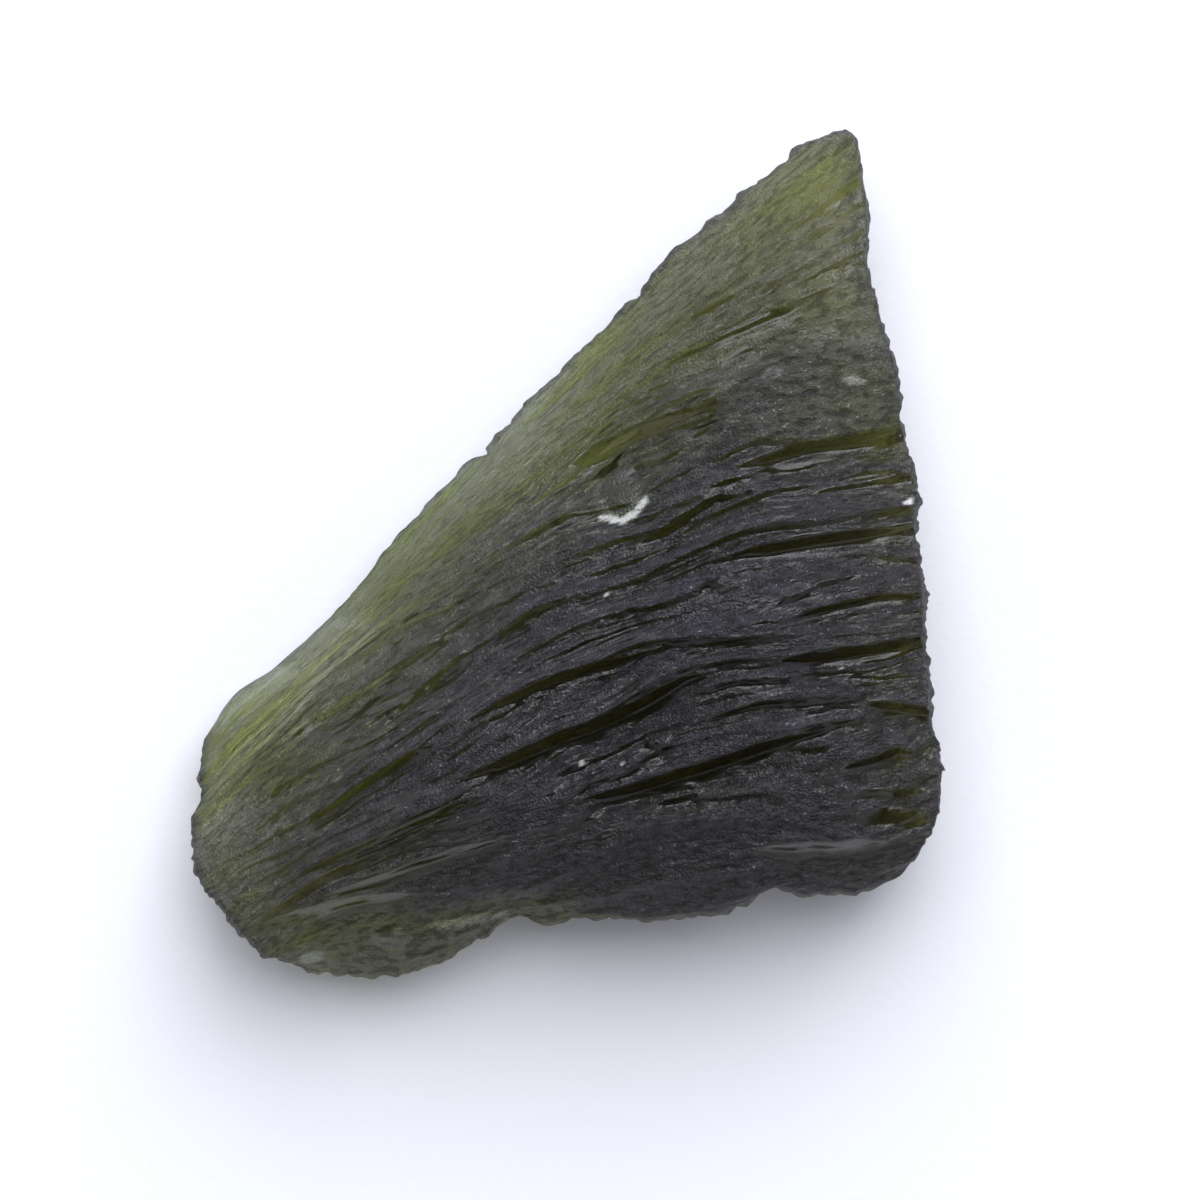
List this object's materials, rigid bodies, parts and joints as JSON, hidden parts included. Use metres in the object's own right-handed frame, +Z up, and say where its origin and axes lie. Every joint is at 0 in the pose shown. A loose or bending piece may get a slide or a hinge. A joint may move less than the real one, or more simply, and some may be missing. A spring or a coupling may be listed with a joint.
{
  "type": "moldavite",
  "caption": "Raw moldavite: a flat, roughly triangular piece of olive natural glass with flow grooves fanning over its skin, a specimen to hold or show.",
  "frame": {"origin": "on the ground, under the middle of the stone's outline", "axes": "+X to the right of the picture, +Y towards the pointed tip, +Z up through the thickness, towards the camera"},
  "size_m": [0.0268, 0.0304, 0.0091],
  "materials": {
    "moldavite_glass": "natural olive glass, etched dull on the ridges and clearer on the groove floors, green where it is thin and near black where it is thick"
  },
  "bodies": {
    "root": {"moldavite": "moldavite_glass"}
  },
  "joints": []
}
